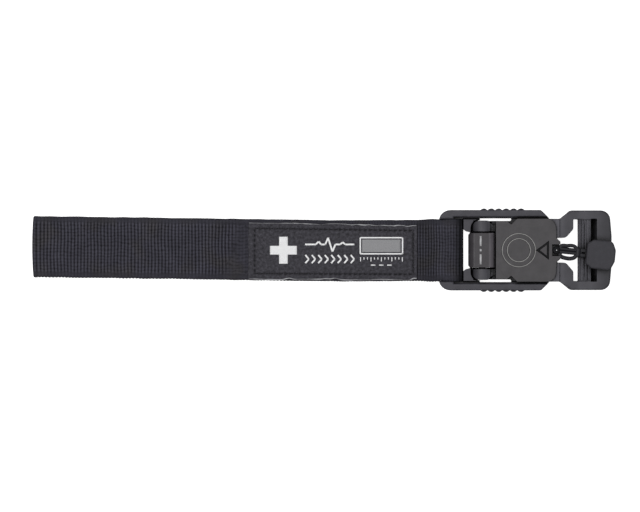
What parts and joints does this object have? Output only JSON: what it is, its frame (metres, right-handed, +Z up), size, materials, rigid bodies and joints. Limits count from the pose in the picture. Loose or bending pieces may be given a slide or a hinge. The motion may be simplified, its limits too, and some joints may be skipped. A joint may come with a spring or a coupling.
{
  "type": "webbing tourniquet strap with magnetic quick-release buckle",
  "caption": "Flat black webbing tourniquet strap, folded back on itself, with a sewn label and a magnetic quick-release buckle opened by a rubber pull knob.",
  "frame": {"origin": "middle of the part's length and width, on the plane it rests on", "axes": "+X along the strap towards the pull knob, +Y across the webbing, +Z up, out of the buckle's cover"},
  "size_m": [0.2426, 0.0348, 0.011],
  "materials": {
    "frame_plastic": "moulded nylon, fine satin grain",
    "cover_plastic": "moulded plastic, slightly smoother satin",
    "slider_plastic": "low-friction moulded acetal",
    "pin_steel": "plain steel, lightly brushed",
    "magnet": "nickel-plated magnet",
    "webbing": "black woven nylon webbing with cross ribs",
    "label_cloth": "fine black woven satin label",
    "black_thread": "black sewing thread",
    "pale_thread": "pale grey edge thread",
    "pull_rubber": "black soft rubber",
    "knob_rubber": "dark grey soft rubber, matt"
  },
  "bodies": {
    "frame": {"buckle_frame": "frame_plastic", "cross_pin": "pin_steel", "barrel": "cover_plastic", "frame_magnets": "magnet", "magnet_caps": "frame_plastic", "keeper_plate": "pin_steel", "strap_loop": "webbing"},
    "strap": {"strap_run": "webbing", "strap_turnback": "webbing", "label": "label_cloth", "label_stitching": "black_thread", "label_edge_threads": "pale_thread", "box_stitching": "black_thread"},
    "tail": {"strap_tail": "webbing", "strap_fold": "webbing"},
    "insert": {"insert_base": "frame_plastic", "cover_plate": "cover_plastic", "cover_screws": "pin_steel", "insert_magnets": "magnet"},
    "slider": {"slider": "slider_plastic", "return_springs": "pin_steel", "latch_tongue": "pin_steel", "tongue_rivets": "pin_steel", "pull_post": "pin_steel"},
    "pull": {"pull_loop": "pull_rubber"},
    "knob": {"pull_knob": "knob_rubber", "pull_neck": "pull_rubber"}
  },
  "joints": [
    {"name": "strap_swing", "type": "hinge", "parent": "frame", "child": "strap", "pos_m": [0.04192, 0, 0.00365], "axis": [0, 1, 0], "range_deg": [-60, 75]},
    {"name": "tail_unfold", "type": "hinge", "parent": "strap", "child": "tail", "pos_m": [-0.11863, 0, 0.00265], "axis": [0, 1, 0], "range_deg": [0, 180], "deforming": ["strap_fold"]},
    {"name": "insert_tilt", "type": "hinge", "parent": "frame", "child": "insert", "pos_m": [0.06592, 0, 0.0042], "axis": [0, -1, 0], "range_deg": [0, 75], "deforming": ["latch_tongue"]},
    {"name": "pull_slide", "type": "slide", "parent": "insert", "child": "slider", "axis": [1, 0, 0], "range_m": [0, 0.003], "deforming": ["return_springs"]},
    {"name": "pull_swing", "type": "hinge", "parent": "slider", "child": "pull", "pos_m": [0.09672, 0, 0.0074], "axis": [0, 0, 1], "range_deg": [-8, 20]},
    {"name": "knob_lift", "type": "hinge", "parent": "pull", "child": "knob", "pos_m": [0.10791, -0.00116, 0.0074], "axis": [-0.1028, -0.9947, 0], "range_deg": [0, 75], "deforming": ["pull_neck"]}
  ]
}
